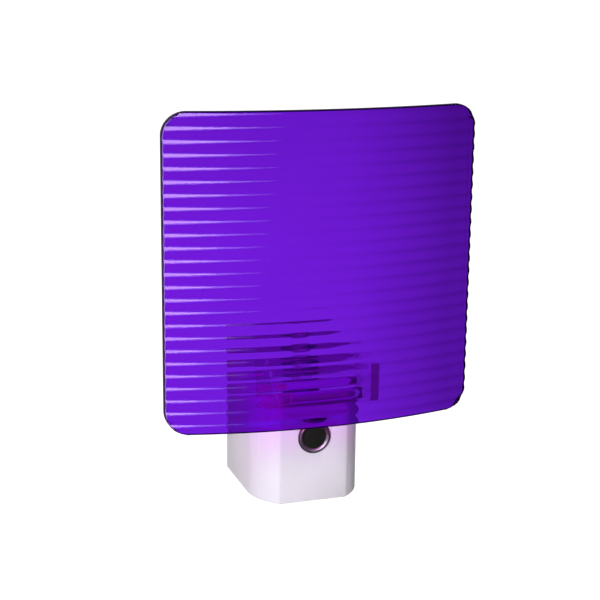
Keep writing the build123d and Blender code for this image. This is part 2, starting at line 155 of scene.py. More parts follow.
# %% A recipe of nodes
class Recipe:
    """A node tree under construction: a material's or the world's."""

    def __init__(self, tree):
        self.tree = tree
        self.tree.nodes.clear()

    def node(self, kind, settings=None, inputs=None):
        """Adds a node, sets its settings, then its inputs by name or number."""
        new = self.tree.nodes.new(kind)
        for key, value in (settings or {}).items():
            setattr(new, key, value)
        for key, value in (inputs or {}).items():
            if isinstance(value, Value):
                self.tree.links.new(value.socket, new.inputs[key])
            else:
                new.inputs[key].default_value = value
        return [Value(self, out) for out in new.outputs]

    def place(self):
        """The point on the piece, in metres."""
        return self.node("ShaderNodeTexCoord")[3]

    def parts(self, point):
        """The three numbers of a point or a direction."""
        return self.node("ShaderNodeSeparateXYZ", None, {0: point})

    def blend(self, share, first, second):
        """A colour between two colours."""
        settings = {"data_type": "RGBA"}
        return self.node("ShaderNodeMix", settings, {0: share, 6: first, 7: second})[2]

    def noise(self, point, scale, detail=2.0):
        """Soft random clouds from 0 to 1. A larger scale makes them smaller."""
        inputs = {"Vector": point, "Scale": scale, "Detail": detail}
        return self.node("ShaderNodeTexNoise", None, inputs)[0]

    def stretched(self, point, scale):
        """The point with its three directions scaled apart, for streaks."""
        return self.node("ShaderNodeMapping", None, {"Vector": point, "Scale": scale})[0]

    def bump(self, height, strength, depth):
        """A height turned into a tilt of the surface, its depth in metres."""
        inputs = {"Height": height, "Strength": strength, "Distance": depth}
        return self.node("ShaderNodeBump", None, inputs)[0]

    def body(self, inputs):
        """The Principled shader, which every solid finish here is made with."""
        return self.node("ShaderNodeBsdfPrincipled", None, inputs)[0]

    def lit_through(self, body, tint):
        """A clear body that a lamp's shadow ray passes, tinted."""
        through = self.node("ShaderNodeBsdfTransparent", None, {0: tint})[0]
        is_shadow = self.node("ShaderNodeLightPath")[1]
        return self.node("ShaderNodeMixShader", None, {0: is_shadow, 1: body, 2: through})[0]

    def output(self, surface):
        """Ends the tree with its output, a world's or a material's."""
        kind = "World" if self.tree == bpy.context.scene.world.node_tree else "Material"
        self.node("ShaderNodeOutput" + kind, None, {"Surface": surface})


def new_material(name):
    """An empty material and the recipe that fills it."""
    material = bpy.data.materials.new(name)
    material.use_nodes = True
    return material, Recipe(material.node_tree)


print("recipes can be written")

# %% [markdown]
# The world does three jobs. Where the camera looks past the light it is plain white. Behind
# the clear shade it is white too, and dimmer towards the right, which gives the ribs their
# soft dark bands there. On the surfaces themselves it is a quiet room, a little brighter from
# the left, from above and from behind, so that the light's back is not left in the dark. One
# Light Path node tells the three apart, because a ray knows whether the camera, a reflection
# or a clear body sent it. Light that has already bounced off the housing isn't given the
# white ground behind the shade, which would wash the housing out.

# %% World
world = bpy.data.worlds.new("World")
bpy.context.scene.world = world
world.use_nodes = True
sky = Recipe(world.node_tree)
direction = sky.node("ShaderNodeTexCoord")[0]
east, north, height = sky.parts(direction)
west = east * -1
path = sky.node("ShaderNodeLightPath")
is_camera, is_glossy, is_transmission, matt_bounces = path[0], path[3], path[6], path[10]
seen_through = is_transmission * (1 - matt_bounces.ramp(0, 1))

sideways = east / (east * east + north * north).power(0.5)
right_side = sideways.ramp(0.27, 0.46).power(1.8)
behind_panel = 1.02 - 0.30 * right_side
back_wall, left_wall = north.ramp(-0.1, 0.9), west.ramp(0.55, 0.8)
ceiling = height.ramp(0.78, 0.92)
room = 0.02 + 0.60 * back_wall + ceiling + 0.3 * left_wall
from_left, from_behind = west.ramp(-0.25, 0.9), north.ramp(0.6, 0.95)
ambient = 0.05 + 0.22 * from_left + 1.5 * from_behind
strength = is_camera + (1 - is_camera) * (
    seen_through * behind_panel
    + (1 - seen_through) * (is_glossy * room + (1 - is_glossy) * ambient)
)
background = sky.node("ShaderNodeBackground", None, {0: (1, 1, 1, 1), 1: strength})
sky.output(background[0])
print("world ready")

# %% [markdown]
# A photographer's softbox is a glowing rectangle, and so is Blender's area lamp. Its
# brightness is given here as radiance, which doesn't change when the lamp grows or moves
# away, and the power that Blender wants is worked out from it. The lamp is placed by its
# direction from the light and always faces the same point.

# %% Lamps: one soft lamp
def soft_lamp(name, direction, right, distance, size, radiance):
    """A rectangular lamp in a direction from the light, its width turned along right."""
    away = Vector(direction).normalized()
    across = (Vector(right) - away * away.dot(Vector(right))).normalized()
    along = away.cross(across)
    width, height = size
    lamp_data = bpy.data.lights.new(name, "AREA")
    lamp_data.shape = "RECTANGLE"
    lamp_data.size = width
    lamp_data.size_y = height
    lamp_data.energy = math.pi * width * height * radiance
    lamp = bpy.data.objects.new(name, lamp_data)
    bpy.context.scene.collection.objects.link(lamp)
    turn = Matrix((across, along, away)).transposed()
    lamp.matrix_world = Matrix.Translation(lamp_aim + away * distance) @ turn.to_4x4()
    lamp.visible_camera = False
    lamp.visible_transmission = False
    print(name, "at", [round(c, 2) for c in lamp.location], "power", round(lamp_data.energy, 1))
    return lamp


def towards(azimuth, elevation):
    """A direction, from azimuth (0 in front, positive to the right) and elevation."""
    a, e = math.radians(azimuth), math.radians(elevation)
    return Vector((math.sin(a) * math.cos(e), -math.cos(a) * math.cos(e), math.sin(e)))


print("soft lamps can be placed")

# %% [markdown]
# The fine bright lines on the left half of the shade are the mirror image of one large
# softbox in its ribs. Every rib sees the box at another height, and the box's slanting right
# edge ends each line in a point, so that edge is laid through two directions, and the lamp
# covers the sky on its left. Two weak strips on the edge's other side draw the lines out into
# thin tails. These three only make reflections. A fill lamp from the left and one above
# light the white housing, partly through the shade, whose violet they carry, and they make no
# reflections.

# %% Lamps: the lamps of this portrait
to_room, to_right, up = Vector((0, -1, 0)), Vector((1, 0, 0)), Vector((0, 0, 1))
lamp_aim = Vector((-0.035, -0.040, 0.047))
low_end, high_end = towards(-18.5, 23), towards(-5.5, 42)
edge_middle = (low_end + high_end).normalized()
left_of_edge = low_end.cross(high_end).normalized()
lamp_distance = 1.6
edge_length = 1.5


def shine_lamp(name, start, stop, radiance):
    """Makes only reflections. Covers the sky between two angles, counted left of the edge."""
    middle, half = math.radians((start + stop) / 2), math.radians((stop - start) / 2)
    direction = edge_middle * math.cos(middle) + left_of_edge * math.sin(middle)
    size = (2 * lamp_distance * math.tan(half), edge_length)
    lamp = soft_lamp(name, direction, -left_of_edge, lamp_distance, size, radiance)
    lamp.visible_diffuse = False


def matt_lamp(name, direction, size, radiance):
    """Lights the matt surfaces and makes no reflections."""
    lamp = soft_lamp(name, direction, to_right, lamp_distance, size, radiance)
    lamp.visible_glossy = False


shine_lamp("key_lamp", start=0, stop=34, radiance=14.5)
shine_lamp("tail_lamp", start=-4.5, stop=0, radiance=5.0)
shine_lamp("faint_lamp", start=-9, stop=-4.5, radiance=1.9)
matt_lamp("fill_lamp", towards(-36, 10), size=(0.22, 0.35), radiance=70.0)
matt_lamp("top_lamp", towards(-18, 48), size=(0.5, 0.5), radiance=9.0)
print("lamps ready")

# %% [markdown]
# The shade is clear acrylic dyed violet. Its colour could come from a volume inside it, but a
# base colour for the light that passes through is quicker and easier to steer. It has the
# faint flow pattern of moulded plastic. Its base colour is also darkened towards the right and
# the top, a painted shade. Lamps shine through with a warmer tint, so the shade throws its
# glow on the housing behind it. A low specular level with a violet tint keeps the reflected
# lines lilac.

# %% Finish: violet acrylic
def violet_acrylic():
    """Clear violet plastic. Lamps shine through it, and tint what is behind it."""
    material, recipe = new_material("violet_acrylic")
    point = recipe.place()
    x, _, z = recipe.parts(point)
    flow = recipe.noise(point, 45.0).ramp(0.35, 0.65)
    light = recipe.blend(flow, (0.162, 0.0100, 0.700, 1), (0.170, 0.0110, 0.725, 1))
    # painted shade: the base colour darkens towards the right and the top
    painted_shade_colour = (0.03, 0.001, 0.13, 1)
    shade_to_the_right, shade_to_the_top = (x / mm).ramp(4, 44).power(1.4), (z / mm).ramp(55, 85)
    ripple = recipe.noise(point, 260.0)
    body = recipe.body(
        {
            "Base Color": recipe.blend(0.67 * shade_to_the_right + 0.16 * shade_to_the_top, light, painted_shade_colour),
            "Roughness": 0.02,
            "IOR": 1.49,
            "Transmission Weight": 1.0,
            "Specular IOR Level": 0.21,
            "Specular Tint": (0.70, 0.47, 1.0, 1),
            "Normal": recipe.bump(ripple, strength=0.010, depth=0.02 * mm),
        }
    )
    recipe.output(recipe.lit_through(body, (1.0, 0.040, 0.60, 1)))
    return material


print("violet acrylic can be made")

# %% [markdown]
# A cut edge of dyed plastic looks nearly black, because light reaches it only through the
# whole width of the sheet. A clear material would need very many bounces for that, so this
# darkness is painted on the edge as a dark colour of its own. The left rim's front edge is the
# exception: it faces the softbox, and a paler edge colour paints its highlight there as a thin
# bright line. The collar's walls are the same plastic as the shade, but seen through it they
# are faint, so they bend light very little and tint it lightly. Their tint is a little darker
# towards the right, and the roots of the two side walls carry a painted shade, darkest on the
# right.

# %% Finish: the shade's edges and collar
def edge_acrylic(name, first, second):
    """A rim of the shade: dark, where light came through much plastic, or a painted highlight."""
    material, recipe = new_material(name)
    flow = recipe.noise(recipe.place(), 120.0)
    colour = recipe.blend(flow, first, second)
    inputs = {"Base Color": colour, "Roughness": 0.35, "Specular IOR Level": 0.05}
    recipe.output(recipe.body(inputs))
    return material


def thin_acrylic(name, at_left, at_right):
    """Thin clear walls of the same plastic, whose tint changes from left to right."""
    material, recipe = new_material(name)
    point = recipe.place()
    x = recipe.parts(point)[0]
    across = (x / mm).ramp(-12, 12) + 0.2 * (recipe.noise(point, 120.0) - 0.5)
    body = recipe.body(
        {
            "Base Color": recipe.blend(across, at_left, at_right),
            "Roughness": 0.03,
            "IOR": 1.04,
            "Transmission Weight": 1.0,
        }
    )
    recipe.output(recipe.lit_through(body, (0.95, 0.4, 0.8, 1)))
    return material


violet_edge = edge_acrylic("violet_edge", (0.013, 0.0008, 0.042, 1), (0.024, 0.0018, 0.072, 1))
# a paler colour for the left rim: a painted highlight
painted_rim_glint = edge_acrylic("painted_rim_glint", (0.22, 0.11, 0.50, 1), (0.30, 0.16, 0.62, 1))
violet_collar = thin_acrylic("violet_collar", (0.93, 0.78, 0.90, 1), (0.88, 0.66, 0.84, 1))
# the side walls' roots: a painted shade, darkest at the right wall
collar_root_painted_shade = thin_acrylic(
    "collar_root_painted_shade", (0.90, 0.72, 0.88, 1), (0.26, 0.06, 0.14, 1)
)
print("edge and collar finishes ready")

# %% [markdown]
# Most parts of the light are opaque moulded plastic. Up close such plastic is never one
# colour: it has faint clouds where it flowed into the mould, and a fine grain from the
# mould's own surface. One noise mixes two near shades, and a finer one moves the roughness
# and a very shallow bump.

# %% Finish: moulded plastic
def darker(colour, share):
    """A colour times a share, its alpha kept at 1."""
    return tuple(part * share for part in colour[:3]) + (1.0,)


def moulded_plastic(name, colour, roughness, grain):
    """Opaque moulded plastic: a faint flow pattern, and a fine grain that breaks up the shine."""
    material, recipe = new_material(name)
    point = recipe.place()
    cloud = recipe.noise(point, 60.0, detail=3.0).ramp(0.3, 0.7)
    fine = recipe.noise(point, grain)
    body = recipe.body(
        {
            "Base Color": recipe.blend(cloud, darker(colour, 0.965), colour),
            "Roughness": roughness + 0.08 * (fine - 0.5),
            "IOR": 1.5,
            "Normal": recipe.bump(fine, strength=0.10, depth=0.03 * mm),
        }
    )
    recipe.output(body)
    return material


print("moulded plastic can be made")

# %% [markdown]
# The blades and the wires are brass or copper under bright plating. Drawing leaves fine lines
# along the metal, so a noise is stretched many times in one direction. It varies the colour
# and a shallow bump, and a second noise smudges the shine as fingers do.

# %% Finish: plated metal
def plated_metal(name, colour, roughness, streaks=(40.0, 40.0, 2200.0)):
    """Plated metal with fine drawing lines."""
    material, recipe = new_material(name)
    point = recipe.place()
    lines = recipe.noise(recipe.stretched(point, streaks), 1.0, detail=3.0)
    smudge = recipe.noise(point, 180.0)
    body = recipe.body(
        {
            "Base Color": recipe.blend(lines.ramp(0.3, 0.7), darker(colour, 0.86), colour),
            "Metallic": 1.0,
            "Roughness": roughness + 0.12 * (smudge - 0.5),
            "Normal": recipe.bump(lines, strength=0.15, depth=0.03 * mm),
        }
    )
    recipe.output(body)
    return material


print("plated metal can be made")

# %% [markdown]
# The ring round the light sensor is plastic with a thin chrome coat of a grey violet cast. It
# is satin on its crown, and a dark line of painted shade is drawn where its rim meets the
# housing. The line is drawn by the distance from the ring's axis, which Object coordinates
# give, so no picture is needed.

# %% Finish: the sensor ring's smoked chrome
ring_low, ring_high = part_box("sensor_bezel")
ring_radius = (ring_high.x - ring_low.x) / 2
ring_axis_z = (ring_low.z + ring_high.z) / 2


def ring_chrome():
    """The sensor ring's smoked chrome, with painted shade where its rim meets the white housing.
    """
    material, recipe = new_material("bezel_chrome")
    point = recipe.place()
    x, _, z = recipe.parts(point)
    up_from_axis = z - ring_axis_z
    radius = (x * x + up_from_axis * up_from_axis).power(0.5)
    # painted shade: a dark line where the ring's rim meets the housing
    painted_rim_shade = (radius / ring_radius).ramp(0.89, 0.98)
    smudge = recipe.noise(point, 240.0)
    satin = recipe.blend(smudge, (0.29, 0.28, 0.36, 1), (0.36, 0.34, 0.43, 1))
    body = recipe.body(
        {
            "Base Color": recipe.blend(painted_rim_shade, satin, (0.035, 0.028, 0.042, 1)),
            "Metallic": 1.0,
            "Roughness": 0.48 + 0.10 * (smudge - 0.5),
            "Normal": recipe.bump(smudge, strength=0.05, depth=0.03 * mm),
        }
    )
    recipe.output(body)
    return material


print("smoked chrome can be made, ring radius", round(ring_radius / mm, 2), "mm")

# %% [markdown]
# The light-emitting diode is cast in water-clear epoxy. It is a glass-like body with a touch
# of haze, and lamps shine through it as they do through the shade, so it doesn't throw a
# black shadow.

# %% Finish: clear resin
def clear_epoxy():
    """Water-clear resin, as on a light-emitting diode."""
    material, recipe = new_material("led_epoxy")
    haze = recipe.noise(recipe.place(), 400.0)
    body = recipe.body(
        {
            "Base Color": recipe.blend(haze, (0.90, 0.92, 0.95, 1), (0.97, 0.98, 1.0, 1)),
            "Roughness": 0.03,
            "IOR": 1.53,
            "Transmission Weight": 0.92,
        }
    )
    recipe.output(recipe.lit_through(body, (0.9, 0.9, 0.92, 1)))
    return material


print("clear resin can be made")

# %% [markdown]
# The housing is glossy white plastic with a faint lilac cast. Just below the shade it carries
# a violet glow, since the light that reaches it there has passed through the dyed plastic.
# The glow is part of the base colour and fades downwards and backwards from the shade's lower
# edge.

# %% Finish: the white housing
def housing_plastic():
    """White plastic that carries the shade's violet glow just below the shade."""
    material, recipe = new_material("white_plastic")
    point = recipe.place()
    _, y, z = recipe.parts(point)
    cloud = recipe.noise(point, 60.0, detail=3.0).ramp(0.3, 0.7)
    fine = recipe.noise(point, 900.0)
    plain = recipe.blend(cloud, (0.80, 0.750, 0.840, 1), (0.82, 0.770, 0.860, 1))
    near_panel = (z / mm).ramp(-9, 7).power(1.8) * ((y / mm) * -1).ramp(6, 26)
    body = recipe.body(
        {
            "Base Color": recipe.blend(near_panel, plain, (0.78, 0.61, 1.0, 1)),
            "Roughness": 0.30 + 0.08 * (fine - 0.5),
            "IOR": 1.5,
            "Specular IOR Level": 0.25,
            "Normal": recipe.bump(fine, strength=0.10, depth=0.03 * mm),
        }
    )
    recipe.output(body)
    return material


print("housing plastic can be made")

# %% [markdown]
# Every slot of the record now gets its finish. The parts inside the housing are hidden, but
# the part may be opened one day, so the board, the resistors and the capacitors get theirs
# too. After its name, a plastic has its colour, its roughness and how fine its grain is, and
# a metal its colour, its roughness and, where they differ, its streaks.

# %% The table of finishes
materials = {
    "violet_acrylic": violet_acrylic(),
    "white_housing": housing_plastic(),
    "white_cover": moulded_plastic("cover_plastic", (0.77, 0.76, 0.77, 1), 0.45, 1400.0),
    "bezel_chrome": ring_chrome(),
    "sensor_window": moulded_plastic("sensor_window", (0.014, 0.017, 0.014, 1), 0.12, 500.0),
    "led_epoxy": clear_epoxy(),
    "blade_plate": plated_metal("blade_plate", (0.62, 0.60, 0.56, 1), 0.24, (60.0, 900.0, 2500.0)),
    "board_laminate": moulded_plastic("board_laminate", (0.36, 0.17, 0.045, 1), 0.55, 2500.0),
    "tinned_wire": plated_metal("tinned_wire", (0.68, 0.68, 0.69, 1), 0.28),
    "black_epoxy": moulded_plastic("black_epoxy", (0.012, 0.012, 0.013, 1), 0.42, 2200.0),
    "zener_glass": moulded_plastic("zener_glass", (0.55, 0.17, 0.04, 1), 0.12, 600.0),
    "resistor_tan": moulded_plastic("resistor_tan", (0.50, 0.36, 0.19, 1), 0.4, 1500.0),
    "resistor_grey": moulded_plastic("resistor_grey", (0.14, 0.16, 0.17, 1), 0.5, 1500.0),
    "film_box": moulded_plastic("film_box", (0.42, 0.055, 0.012, 1), 0.25, 700.0),
    "can_sleeve": moulded_plastic("can_sleeve", (0.008, 0.011, 0.035, 1), 0.22, 700.0),
    "black_sleeve": moulded_plastic("black_sleeve", (0.008, 0.008, 0.008, 1), 0.6, 1800.0),
    "photocell_face": moulded_plastic("photocell_face", (0.58, 0.25, 0.10, 1), 0.5, 1200.0),
    "fibre_sleeve": moulded_plastic("fibre_sleeve", (0.70, 0.66, 0.56, 1), 0.7, 2600.0),
}
print("finishes:", len(materials))

# %% [markdown]
# The record says which finish each node has. The nodes' meshes stay as they are, and only
# their material is set. A new piece that stands for a node gets its finish later, when it is
# made.

# %% Dress every frame node in its finish
slot_of = {row["node"]: row["material_slot"] for row in frame["record"]["subparts"]}
for name, node in nodes.items():
    node.data.materials.clear()
    node.data.materials.append(materials[slot_of[name]])
print("dressed", len(nodes), "nodes")

# %% [markdown]
# Blender's modelling operators act on whatever is selected, so most mistakes in a script are
# selections. Three helpers select one piece alone, select faces or points by where they are,
# and select the whole of a piece in edit mode.

# %% Helpers that select
def only(piece):
    """Selects one piece alone and makes it active."""
    if bpy.context.object and bpy.context.object.mode != "OBJECT":
        bpy.ops.object.mode_set(mode="OBJECT")
    bpy.ops.object.select_all(action="DESELECT")
    piece.select_set(True)
    bpy.context.view_layer.objects.active = piece


def select_where(piece, kind, test):
    """In edit mode, selects the faces (FACE) or points (VERT) whose place passes a test."""
    only(piece)
    bpy.ops.object.mode_set(mode="EDIT")
    bpy.ops.mesh.select_mode(type=kind)
    bpy.ops.mesh.select_all(action="DESELECT")
    bpy.ops.object.mode_set(mode="OBJECT")
    if kind == "FACE":
        for face in piece.data.polygons:
            face.select = test(face.center, face.normal)
    else:
        for vertex in piece.data.vertices:
            vertex.select = test(vertex.co, vertex.normal)
    bpy.ops.object.mode_set(mode="EDIT")


def edit_all(piece):
    """Opens a piece in edit mode with all of it selected."""
    only(piece)
    bpy.ops.object.mode_set(mode="EDIT")
    bpy.ops.mesh.select_all(action="SELECT")


print("pieces can be selected")

# %% [markdown]
# A new piece is either drawn from nothing or starts as a copy of a frame node whose shape is
# right. A node's mesh is loose triangles, so its copy is joined first, and each flat face
# becomes one face, because a bevel needs real edges to round. The last helper shades a piece,
# ties it to the frame and says which node it stands for.

# %% Helpers that make and finish pieces
weld = 0.002 * mm
fine_weld = 0.001 * mm


def merged_copy(node_name, name):
    """A copy of a frame node with its loose triangles joined."""
    piece = nodes[node_name].copy()
    piece.data = nodes[node_name].data.copy()
    piece.name = name
    piece.parent = None
    piece.hide_render = piece.hide_viewport = False
    piece.data.materials.clear()
    for key in list(piece.keys()):
        if key.startswith("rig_"):
            del piece[key]
    bpy.context.scene.collection.objects.link(piece)
    edit_all(piece)
    bpy.ops.mesh.remove_doubles(threshold=weld)
    bpy.ops.object.mode_set(mode="OBJECT")
    return piece


def flatten(piece, flat_within=0.5):
    """Joins the triangles of each flat face into one face, so that its edges can be softened."""
    edit_all(piece)
    bpy.ops.mesh.dissolve_limited(angle_limit=math.radians(flat_within))
    bpy.ops.object.mode_set(mode="OBJECT")


def apply_modifier(piece, kind, **settings):
    """Adds a modifier, sets it, and applies it."""
    only(piece)
    modifier = piece.modifiers.new(kind.lower(), kind)
    for key, value in settings.items():
        setattr(modifier, key, value)
    bpy.ops.object.modifier_apply(modifier=modifier.name)


def soften(piece, width, segments, sharp):
    """Rounds the edges that are sharper than an angle, as a mould or a die leaves them."""
    apply_modifier(
        piece,
        "BEVEL",
        width=width,
        segments=segments,
        limit_method="ANGLE",
        angle_limit=math.radians(sharp),
        harden_normals=False,
    )


def finish_piece(piece, slot, *stands_for, smooth=30):
    """Shades a piece, puts its place in its mesh, and ties it to the frame."""
    only(piece)
    bpy.ops.object.transform_apply(location=True, rotation=True, scale=True)
    bpy.ops.object.shade_smooth_by_angle(angle=math.radians(smooth))
    if not piece.data.materials:
        piece.data.materials.append(materials[slot])
    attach(piece, "root")
    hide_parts(*stands_for)
    print(piece.name, len(piece.data.polygons), "faces")


print("pieces can be made and finished")

# %% [markdown]
# The shade panel is the piece everyone looks at, and light bends at every rib, so its mesh is
# much finer than the frame's. It could be an extruded shape with a Simple Deform, but a spin
# gives a true arc. One rib's line is drawn first, as three arcs that meet without a corner:
# half a valley, a crest, and half a valley.

# %% Panel: the line of one rib
panel_low, panel_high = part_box("shade_panel")
panel_width = panel_high.x - panel_low.x
rib_count = 25
rib_pitch = (panel_high.z - panel_low.z) / rib_count
rib_slope = math.radians(30)
rib_valley = 0.665 * mm
panel_radius = 146.3 * mm
panel_thickness = 2.2 * mm
corner_radius = 6 * mm
axis_y = panel_low.y + panel_radius
crest_arc = (rib_pitch / 2 - rib_valley) / math.sin(rib_slope)
valley_arc = rib_valley / math.sin(rib_slope)
rib_height = rib_pitch / 2 * math.tan(rib_slope / 2)
arc_steps = 8


def draw_arc(centre_y, centre_z, angle, steps):
    """Turns the selected point about a centre in the plane x = 0, which draws an arc."""
    bpy.ops.mesh.spin(steps=steps, angle=angle, center=(0, centre_y, centre_z), axis=(1, 0, 0))


valley_y = panel_low.y + rib_height - valley_arc
crest_y = panel_low.y + crest_arc
bpy.ops.mesh.primitive_circle_add(vertices=3, radius=mm)
sheet = bpy.context.object
sheet.name = "shade_sheet"
bpy.ops.object.mode_set(mode="EDIT")
bpy.ops.mesh.merge(type="CENTER")
bpy.ops.transform.translate(value=(0, panel_low.y + rib_height, panel_low.z))
draw_arc(valley_y, panel_low.z, -rib_slope, arc_steps)
draw_arc(crest_y, panel_low.z + rib_pitch / 2, 2 * rib_slope, 2 * arc_steps)
draw_arc(valley_y, panel_low.z + rib_pitch, -rib_slope, arc_steps)
bpy.ops.object.mode_set(mode="OBJECT")
print("rib line:", len(sheet.data.vertices), "points, height", round(rib_height / mm, 3), "mm")

# %% [markdown]
# An Array modifier stacks the rib line to the panel's full height. The line is closed along
# the panel's smooth back, which makes the panel's section, and a spin about an upright axis
# behind the panel carries it round as far as the panel is wide.

# %% Panel: 25 ribs, a flat back, and a sweep about the panel's axis
apply_modifier(
    sheet,
    "ARRAY",
    count=rib_count,
    use_relative_offset=False,
    use_constant_offset=True,
    constant_offset_displace=(0, 0, rib_pitch),
    use_merge_vertices=True,
    merge_threshold=weld,
)
back_radius = panel_radius - panel_thickness
back_y = axis_y - back_radius
sweep_margin = math.radians(1)
sweep = math.asin(panel_width / 2 / back_radius) + sweep_margin
sweep_steps = 48
select_where(sheet, "VERT", lambda co, n: co.z < panel_low.z + fine_weld)
bpy.ops.mesh.extrude_region_move(
    TRANSFORM_OT_translate={"value": (0, back_y - panel_low.y - rib_height, 0)}
)
bpy.ops.mesh.extrude_region_move(
    TRANSFORM_OT_translate={"value": (0, 0, rib_count * rib_pitch)}
)
select_where(sheet, "VERT", lambda co, n: co.z > panel_high.z - fine_weld)
bpy.ops.mesh.edge_face_add()
bpy.ops.mesh.select_all(action="SELECT")
bpy.ops.transform.rotate(value=sweep, orient_axis="Z", center_override=(0, axis_y, 0))
bpy.ops.mesh.spin(steps=sweep_steps, angle=-2 * sweep, center=(0, axis_y, 0), axis=(0, 0, 1))
bpy.ops.mesh.select_all(action="SELECT")
bpy.ops.mesh.remove_doubles(threshold=fine_weld)
bpy.ops.object.mode_set(mode="OBJECT")
print("swept sheet:", len(sheet.data.polygons), "faces")

# %% [markdown]
# The mould's outline is a square with rounded corners, seen from the front. A Boolean would
# cut it in one go but often leaves slivers on ribbed faces. Planes are safer: two trim the
# sides, and nine small cuts round each corner. Each cut is closed at once, so the panel stays
# solid.

# %% Panel: cut to width and round the corners
cut_reach = 0.0001 * mm


def cut_off(piece, place, normal):
    """Cuts a piece by a plane. What lies on the normal's side goes, and the cut is closed."""
    edit_all(piece)
    bpy.ops.mesh.bisect(
        plane_co=place, plane_no=normal, use_fill=True, clear_outer=True, threshold=cut_reach
    )
    bpy.ops.object.mode_set(mode="OBJECT")


cut_off(sheet, (panel_high.x, 0, 0), (1, 0, 0))
cut_off(sheet, (panel_low.x, 0, 0), (-1, 0, 0))
corner_cuts = 9
for side_x in (-1, 1):
    for side_z in (-1, 1):
        middle_z = panel_high.z - corner_radius if side_z > 0 else panel_low.z + corner_radius
        middle = Vector((side_x * (panel_high.x - corner_radius), 0, middle_z))
        for cut in range(corner_cuts):
            angle = math.pi / 2 * (cut + 0.5) / corner_cuts
            out = Vector((side_x * math.cos(angle), 0, side_z * math.sin(angle)))
            cut_off(sheet, middle + out * corner_radius, out)
edit_all(sheet)
bpy.ops.mesh.normals_make_consistent(inside=False)
bpy.ops.object.mode_set(mode="OBJECT")
print("cut sheet:", len(sheet.data.polygons), "faces")

# %% [markdown]
# No moulded edge is perfectly sharp. A Bevel modifier takes the corner off the panel's
# outline and gives its new faces the dark edge colour, and the cut sides get it too. Of the
# bevel's faces, those that look forwards and to the left get the paler colour, a painted
# highlight that draws the thin bright line down the left rim.

# %% Panel: soften its outline and mark its cut edges
edge_bevel = 0.34 * mm
edge_finish, painted_glint_index = 1, 2
for finish in (materials["violet_acrylic"], violet_edge, painted_rim_glint):
    sheet.data.materials.append(finish)
apply_modifier(
    sheet,
    "BEVEL",
    width=edge_bevel,
    segments=3,
    limit_method="ANGLE",
    angle_limit=math.radians(50),
    use_clamp_overlap=False,
    material=edge_finish,
)
painted_glint_faces = 0
for face in sheet.data.polygons:
    looks_left, looks_forward = face.normal.x < -0.36, face.normal.y < -0.68
    if abs(face.normal.y) < 0.5:
        face.material_index = edge_finish
    # faces that look forwards and to the left take the painted highlight colour
    elif face.material_index == edge_finish and looks_left and looks_forward:
        face.material_index = painted_glint_index
        painted_glint_faces += 1
print("left rim:", painted_glint_faces, "bright faces")
finish_piece(sheet, "violet_acrylic", "shade_panel")

# %% [markdown]
# A square collar behind the panel holds the shade to the housing. The frame's own collar has
# the right shape, so a copy is cut off just behind the panel's curved back. It stays a closed
# body of its own, a hair away from the panel, so that clear plastic never overlaps clear
# plastic. The roots of its two side walls are cut apart on their front face and get a painted
# shade.

# %% Collar behind the panel
collar_half = 14.46 * mm
collar_side_wall = 2.2 * mm
gap_to_sheet = 0.05 * mm
collar_front = axis_y - math.sqrt(back_radius**2 - collar_half**2) + gap_to_sheet
inner_half = collar_half - collar_side_wall


def at_root(centre, normal):
    """Whether a face is part of the flat front that was cut off the panel."""
    return normal.y < -0.9 and centre.y < collar_front + 0.01 * mm


collar = merged_copy("shade_panel", "shade_collar")
cut_off(collar, (0, collar_front, 0), (0, -1, 0))
for side in (1, -1):
    cut_off(collar, (side * collar_half, 0, 0), (side, 0, 0))
flatten(collar)
for finish in (violet_collar, collar_root_painted_shade):
    collar.data.materials.append(finish)
for side in (-1, 1):
    select_where(collar, "FACE", at_root)
    bpy.ops.mesh.bisect(
        plane_co=(side * inner_half, 0, 0), plane_no=(1, 0, 0), threshold=cut_reach
    )
bpy.ops.object.mode_set(mode="OBJECT")
# the root faces of the side walls take the painted shade colour
for face in collar.data.polygons:
    if at_root(face.center, face.normal) and abs(face.center.x) > inner_half:
        face.material_index = 1
finish_piece(collar, "violet_acrylic", "shade_panel")

# %% [markdown]
# The housing is a moulded box with a flat front and two large round front corners. Its shape
# in the frame is right but its edges are knife-sharp. A merged copy is flattened into clean
# faces and its edges are rounded by a Bevel modifier, as the mould leaves them. Modelling it
# again would gain nothing.

# %% Housing
housing = merged_copy("front_housing", "housing_shell")
flatten(housing)
soften(housing, width=0.15 * mm, segments=2, sharp=40)
finish_piece(housing, "white_housing", "front_housing", smooth=25)

# %% [markdown]
# Rings, windows and lenses are round, and a lathe shows how to make them: draw half of the
# section and turn it about the axis. A point is pulled along the section's corners by
# extruding it, and spin turns the outline into a solid. One helper serves four pieces, and a
# second one gives the corners of a dome, which two of them have.

# %% Turned pieces
def turned(name, corners, centre, axis, side, steps=72):
    """Draws a closed outline of (radius, height) corners and spins it about an axis."""
    points = [centre + side * radius + axis * height for radius, height in corners]
    bpy.ops.mesh.primitive_circle_add(vertices=3, radius=mm)
    piece = bpy.context.object
    piece.name = name
    bpy.ops.object.mode_set(mode="EDIT")
    bpy.ops.mesh.select_mode(type="VERT")
    bpy.ops.mesh.select_all(action="SELECT")
    bpy.ops.mesh.merge(type="CENTER")
    bpy.ops.transform.translate(value=points[0])
    for here, there in zip(points, points[1:] + points[:1]):
        bpy.ops.mesh.extrude_vertices_move(TRANSFORM_OT_translate={"value": there - here})
    bpy.ops.mesh.select_all(action="SELECT")
    bpy.ops.mesh.remove_doubles(threshold=fine_weld)
    bpy.ops.mesh.spin(steps=steps, angle=2 * math.pi, center=centre, axis=axis)
    bpy.ops.mesh.select_all(action="SELECT")
    bpy.ops.mesh.remove_doubles(threshold=fine_weld)
    bpy.ops.mesh.normals_make_consistent(inside=False)
    bpy.ops.object.mode_set(mode="OBJECT")
    return piece


